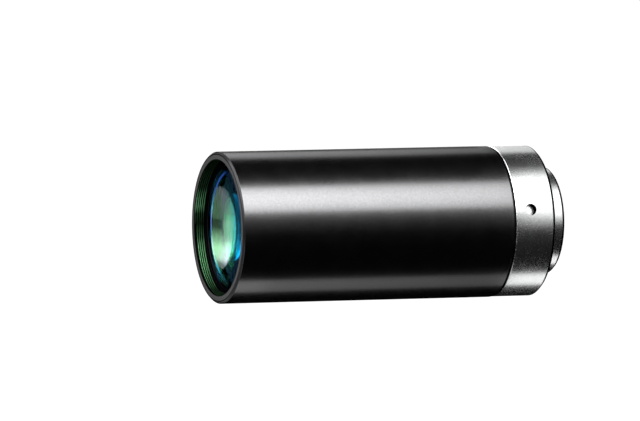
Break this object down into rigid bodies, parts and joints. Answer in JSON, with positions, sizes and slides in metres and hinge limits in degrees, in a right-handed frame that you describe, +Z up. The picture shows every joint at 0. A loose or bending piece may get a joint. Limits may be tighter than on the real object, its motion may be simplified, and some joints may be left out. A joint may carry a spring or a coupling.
{
  "type": "telecentric lens",
  "caption": "Black cylindrical machine-vision lens with recessed coated glass and a bright threaded camera mount at its rear.",
  "frame": {"origin": "centre of the flange face that seats on the camera, on the optical axis", "axes": "+X along the optical axis from the front glass to the camera, +Z up"},
  "size_m": [0.0834, 0.036, 0.036],
  "materials": {
    "black_anodised": "satin black anodised",
    "bright_metal": "fine satin, bright anodised",
    "coated_glass": "polished, green anti-reflection coating",
    "blackened_steel": "blackened"
  },
  "bodies": {
    "root": {"main_barrel": "black_anodised", "front_retaining_ring": "black_anodised", "front_lens": "coated_glass", "front_spacer": "black_anodised", "front_doublet_crown": "coated_glass", "front_doublet_flint": "coated_glass", "baffle_tube": "black_anodised", "baffle_lock_ring": "black_anodised", "rear_cell": "black_anodised", "aperture_stop": "blackened_steel", "stop_retaining_ring": "black_anodised", "stop_side_lens": "coated_glass", "stop_side_spacer": "black_anodised", "rear_doublet_flint": "coated_glass", "rear_doublet_crown": "coated_glass", "rear_spacer": "black_anodised", "last_lens": "coated_glass", "rear_retaining_ring": "black_anodised", "cell_lock_ring": "black_anodised", "mount_shim": "blackened_steel", "mount_ring": "bright_metal"}
  },
  "joints": []
}
